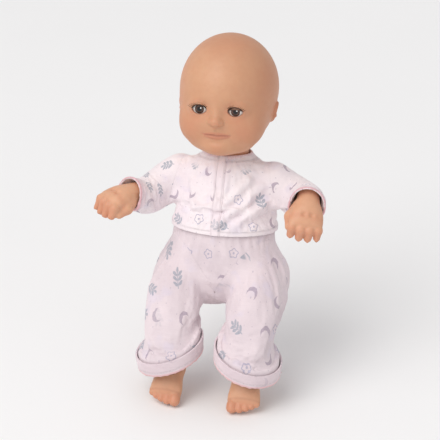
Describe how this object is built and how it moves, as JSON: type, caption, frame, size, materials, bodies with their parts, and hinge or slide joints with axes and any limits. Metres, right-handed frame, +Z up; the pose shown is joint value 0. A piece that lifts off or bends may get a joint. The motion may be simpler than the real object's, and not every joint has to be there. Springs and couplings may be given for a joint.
{
  "type": "baby doll with sound unit",
  "caption": "Seated bald vinyl baby doll in two-piece pyjamas, with turning head and limbs, sleeping eyes, tummy button, speaker and battery box.",
  "frame": {"origin": "middle of the flat underside of the trousers, where the doll sits on a chair seat", "axes": "+Z up, the doll faces -Y, +X is the doll's left"},
  "size_m": [0.1731, 0.1376, 0.2631],
  "materials": {
    "skin_vinyl": "satin",
    "body_plastic": "satin",
    "grey_plastic": "satin",
    "black_resin": "gloss",
    "button_pink": "gloss",
    "eye_gloss": "gloss",
    "screw_steel": "satin",
    "contact_metal": "satin",
    "magnet": "satin",
    "cell_jacket": "gloss",
    "board_green": "satin",
    "black_cone": "matte",
    "lead_red": "satin",
    "lead_black": "satin",
    "shirt_cotton": "matte",
    "trouser_cotton": "matte",
    "cuff_cotton": "matte",
    "fastener_tape": "matte"
  },
  "bodies": {
    "torso": {"torso_front_shell": "body_plastic", "torso_back_shell": "body_plastic", "torso_screws": "screw_steel", "battery_box": "grey_plastic", "battery_cover": "body_plastic", "battery_cover_screw": "screw_steel", "battery_cells": "cell_jacket", "battery_contacts": "contact_metal", "battery_springs": "contact_metal", "speaker_frame": "screw_steel", "speaker_magnet": "magnet", "speaker_cone": "black_cone", "circuit_board": "board_green", "sound_chip": "black_resin", "tummy_switch": "black_resin", "board_screws": "screw_steel", "power_switch_body": "grey_plastic", "speaker_leads": "lead_red", "battery_leads": "lead_black", "neck_flange": "grey_plastic", "shirt_body": "shirt_cotton", "front_placket": "shirt_cotton", "back_fastener": "fastener_tape", "collar_band": "shirt_cotton", "trouser_seat": "trouser_cotton", "waistband": "trouser_cotton"},
    "tummy_button_body": {"tummy_button": "button_pink"},
    "power_knob_body": {"power_switch_knob": "black_resin"},
    "head": {"head_shell": "skin_vinyl", "eye_cradle": "grey_plastic"},
    "eyes": {"eye_left": "eye_gloss", "eye_right": "eye_gloss", "eye_axle": "grey_plastic", "eye_weight": "magnet"},
    "arm_left_body": {"arm_left": "skin_vinyl", "arm_joint_disc_left": "grey_plastic", "sleeve_left": "shirt_cotton", "sleeve_cuff_left": "shirt_cotton"},
    "arm_right_body": {"arm_right": "skin_vinyl", "arm_joint_disc_right": "grey_plastic", "sleeve_right": "shirt_cotton", "sleeve_cuff_right": "shirt_cotton"},
    "leg_left_body": {"leg_left": "skin_vinyl", "leg_joint_disc_left": "grey_plastic", "trouser_leg_left": "trouser_cotton", "trouser_cuff_left": "cuff_cotton"},
    "leg_right_body": {"leg_right": "skin_vinyl", "leg_joint_disc_right": "grey_plastic", "trouser_leg_right": "trouser_cotton", "trouser_cuff_right": "cuff_cotton"}
  },
  "joints": [
    {"name": "neck_turn", "type": "hinge", "parent": "torso", "child": "head", "pos_m": [0, 0.01717, 0.11235], "axis": [0, 0.1908, 0.9816], "range_deg": [-75, 75]},
    {"name": "eyes_tilt", "type": "hinge", "parent": "head", "child": "eyes", "pos_m": [0, -0.01063, 0.1585], "axis": [1, 0, 0], "range_deg": [0, 65]},
    {"name": "shoulder_left", "type": "hinge", "parent": "torso", "child": "arm_left_body", "pos_m": [0.036, 0.01374, 0.09468], "axis": [-0.9659, -0.0494, -0.2541], "range_deg": [-60, 80]},
    {"name": "shoulder_right", "type": "hinge", "parent": "torso", "child": "arm_right_body", "pos_m": [-0.036, 0.01374, 0.09468], "axis": [-0.9659, 0.0494, 0.2541], "range_deg": [-60, 80]},
    {"name": "hip_left", "type": "hinge", "parent": "torso", "child": "leg_left_body", "pos_m": [0.031, 0, 0.024], "axis": [-1, 0, 0], "range_deg": [-62, 10]},
    {"name": "hip_right", "type": "hinge", "parent": "torso", "child": "leg_right_body", "pos_m": [-0.031, 0, 0.024], "axis": [-1, 0, 0], "range_deg": [-62, 10]},
    {"name": "tummy_press", "type": "slide", "parent": "torso", "child": "tummy_button_body", "axis": [0, 0.9816, -0.1908], "range_m": [0, 0.002], "stiffness_N_per_m": 600, "springref_m": -0.001},
    {"name": "power_slide", "type": "slide", "parent": "torso", "child": "power_knob_body", "axis": [0, 0.1908, 0.9816], "range_m": [0, 0.003]}
  ]
}
